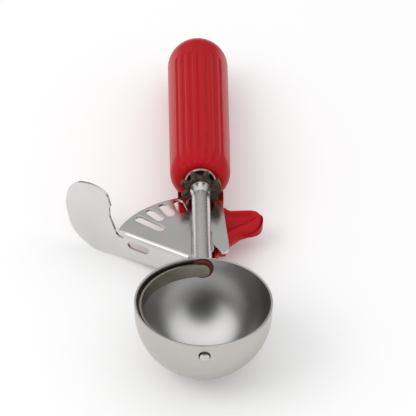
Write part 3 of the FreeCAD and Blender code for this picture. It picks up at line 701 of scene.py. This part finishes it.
def plate_loops():
    """The plate's outline, then the hole for the post and the slots for the pinion's teeth."""
    near_bend = BEND_AWAY.to_2d() * BEND_INSIDE
    outline = [BEND_RUN.to_2d() * place + near_bend for place in (BEND_TO, BEND_FROM)]
    outline += arc(HUB_RADIUS, *HUB_TURNS, HUB_STEPS)
    outline += rounded(LOBE)[1:]
    outline += arc(SECTOR_RADIUS, *SECTOR_TURNS, SECTOR_STEPS)
    outline += arc(TAIL_RADIUS, *TAIL_TURNS, TAIL_STEPS, TAIL_CENTRE)[:-1]
    loops = [outline, arc(POST_RADIUS, 0, 360, POST_STEPS)[:-1]]
    for number in range(SLOT_COUNT):
        near = SLOT_LONG_NEAR if number == SLOT_COUNT - 1 else SLOT_NEAR
        turn = 90 + SLOT_FIRST + number * SLOT_PITCH
        loops.append(obround(near, SLOT_FAR, SLOT_HALF, turn))
    return loops


def flange_loops():
    slot = obround(FLANGE_SLOT_NEAR, FLANGE_SLOT_FAR, FLANGE_SLOT_HALF)
    return [rounded(FLANGE), [point + Vector((0, FLANGE_SLOT_HEIGHT)) for point in slot]]


def bend_mesh():
    """The quarter turn of sheet between the plate and the flange."""
    turns = [math.radians(90 * k / BEND_STEPS) for k in range(BEND_STEPS + 1)]
    across = [(BEND_RADIUS, turn) for turn in turns]
    across += [(BEND_RADIUS - SHEET, turn) for turn in reversed(turns)]
    rings = []
    for place in (BEND_FROM, BEND_TO):
        foot = PIVOT + BEND_RUN * place + BEND_AWAY * BEND_INSIDE + Vector((0, 0, BEND_FOOT))
        rings.append([foot + BEND_AWAY * radius * math.sin(turn) + Vector((0, 0, radius * math.cos(turn)))
                      for radius, turn in across])
    return mesh_of("bend", flat_list(rings), around(rings) + end_caps(rings))


def make_lever(shader):
    flat = Matrix.Translation(PIVOT + Vector((0, 0, PLATE_TOP - SHEET / 2)))
    upright = Matrix((BEND_RUN, Vector((0, 0, 1)), -BEND_AWAY)).transposed().to_4x4()
    stand = Matrix.Translation(PIVOT + BEND_AWAY * (BEND_OUTSIDE - SHEET / 2)) @ upright
    plate = sheet_mesh("plate", plate_loops(), flat)
    flange = sheet_mesh("flange", flange_loops(), stand)
    shape = bmesh.new()
    for mesh in (plate, flange, bend_mesh()):
        shape.from_mesh(mesh)
    whole = bpy.data.meshes.new("lever_sheet")
    shape.to_mesh(whole)
    shape.free()
    return finished("lever_sheet", whole, shader, "thumb_lever", SHARP_LEVER)


def build_pieces(nodes, shaders):
    red = shaders["handle"]
    for part in (make_barrel(red), make_chin(nodes, red), make_finger_rest(red)):
        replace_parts(part, "handle")
    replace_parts(make_lever(shaders["lever"]), "lever")


# Studio: a white floor that keeps the shadow, one large soft light from the left, and a world
# that lights evenly and, in reflections, is bright overhead and at the sides.
FLOOR_SIZE = 6.0
FLOOR_HEIGHT = -0.0001
FLOOR_COLOR = (0.93, 0.93, 0.93)
FLOOR_LIFT = 0.09
KEY_PLACE = Vector((-0.95, -0.35, 1.05))
KEY_SIZE = 0.9
KEY_POWER = 5
WORLD_LEVEL = 0.84
SKY_HORIZON = 0.16
SKY_OVERHEAD = 1.65
SKY_BACK = -0.04
SKY_LEFT = 0.24
SKY_SIDES = 2.1
SKY_DARK_PLACE = (0.0, -0.78, 0.63)
SKY_DARK_EDGE = (0.78, 0.97)
SKY_DARK_SHARE = 0.92


def math_node(tree, operation, first, second):
    """A math node of two values, each one a socket or a number."""
    item = tree.nodes.new("ShaderNodeMath")
    item.operation = operation
    for socket, value in zip(item.inputs, (first, second)):
        if isinstance(value, (int, float)):
            socket.default_value = value
        else:
            tree.links.new(value, socket)
    return item.outputs[0]


def make_floor():
    """White paper, a little brighter where it is seen directly or in a mirror."""
    bpy.ops.mesh.primitive_plane_add(size=FLOOR_SIZE)
    floor = bpy.context.object
    floor.name = "floor"
    floor.location.z = FLOOR_HEIGHT
    paper = Shader("paper", FLOOR_COLOR, 0.9, Specular_IOR_Level=0.0, Emission_Color=(1, 1, 1, 1))
    path = paper.node("ShaderNodeLightPath").outputs
    seen = math_node(paper.tree, "MAXIMUM", path["Is Camera Ray"], path["Is Glossy Ray"])
    lift = math_node(paper.tree, "MULTIPLY", seen, FLOOR_LIFT)
    paper.link(lift, paper.shader.inputs["Emission Strength"])
    floor.data.materials.append(paper.material)


def make_key():
    """The soft light, aimed at the scoop and left out of reflections."""
    data = bpy.data.lights.new("key", "AREA")
    data.shape = "RECTANGLE"
    data.size = KEY_SIZE
    data.size_y = KEY_SIZE
    data.energy = KEY_POWER
    light = linked("key", data)
    light.location = KEY_PLACE
    light.visible_glossy = False
    light.rotation_euler = (-KEY_PLACE).to_track_quat("-Z", "Y").to_euler()


def sky_level(tree):
    """Brightness by direction: the horizon's, more overhead and at the sides, a slow fall to
    the right and to the back, and one dark place in front, where the light was blocked."""
    where = tree.nodes.new("ShaderNodeTexCoord").outputs["Generated"]
    parts = tree.nodes.new("ShaderNodeSeparateXYZ")
    tree.links.new(where, parts.inputs[0])
    right, back, up = parts.outputs
    sides = math_node(tree, "MULTIPLY", math_node(tree, "MULTIPLY", right, right), up)
    terms = ((math_node(tree, "MULTIPLY", up, up), SKY_OVERHEAD), (back, SKY_BACK), (sides, SKY_SIDES),
             (right, -SKY_LEFT))
    level = SKY_HORIZON
    for value, factor in terms:
        level = math_node(tree, "ADD", math_node(tree, "MULTIPLY", value, factor), level)
    near = tree.nodes.new("ShaderNodeVectorMath")
    near.operation = "DOT_PRODUCT"
    near.inputs[1].default_value = SKY_DARK_PLACE
    tree.links.new(where, near.inputs[0])
    dim = tree.nodes.new("ShaderNodeMapRange")
    dim.interpolation_type = "SMOOTHSTEP"
    dim.inputs["From Min"].default_value = SKY_DARK_EDGE[0]
    dim.inputs["From Max"].default_value = SKY_DARK_EDGE[1]
    dim.inputs["To Min"].default_value = 1
    dim.inputs["To Max"].default_value = 1 - SKY_DARK_SHARE
    tree.links.new(near.outputs["Value"], dim.inputs["Value"])
    return math_node(tree, "MULTIPLY", level, dim.outputs["Result"])


def make_world():
    """Even light for the surfaces, and a graded sky for the reflections alone."""
    world = bpy.data.worlds.new("studio")
    world.use_nodes = True
    tree = world.node_tree
    even = tree.nodes["Background"]
    even.inputs["Color"].default_value = (1, 1, 1, 1)
    even.inputs["Strength"].default_value = WORLD_LEVEL
    sky = tree.nodes.new("ShaderNodeBackground")
    tree.links.new(sky_level(tree), sky.inputs["Strength"])
    path = tree.nodes.new("ShaderNodeLightPath")
    pick = tree.nodes.new("ShaderNodeMixShader")
    sources = (path.outputs["Is Glossy Ray"], even.outputs[0], sky.outputs[0])
    for socket, source in zip(pick.inputs, sources):
        tree.links.new(source, socket)
    tree.links.new(pick.outputs[0], tree.nodes["World Output"].inputs["Surface"])
    bpy.context.scene.world = world


def make_studio():
    make_floor()
    make_world()
    make_key()
    bpy.context.scene.view_settings.view_transform = "Standard"


shaders = material_table()
dress(frame["nodes"], shaders)
build_pieces(frame["nodes"], shaders)
make_studio()
make_camera()
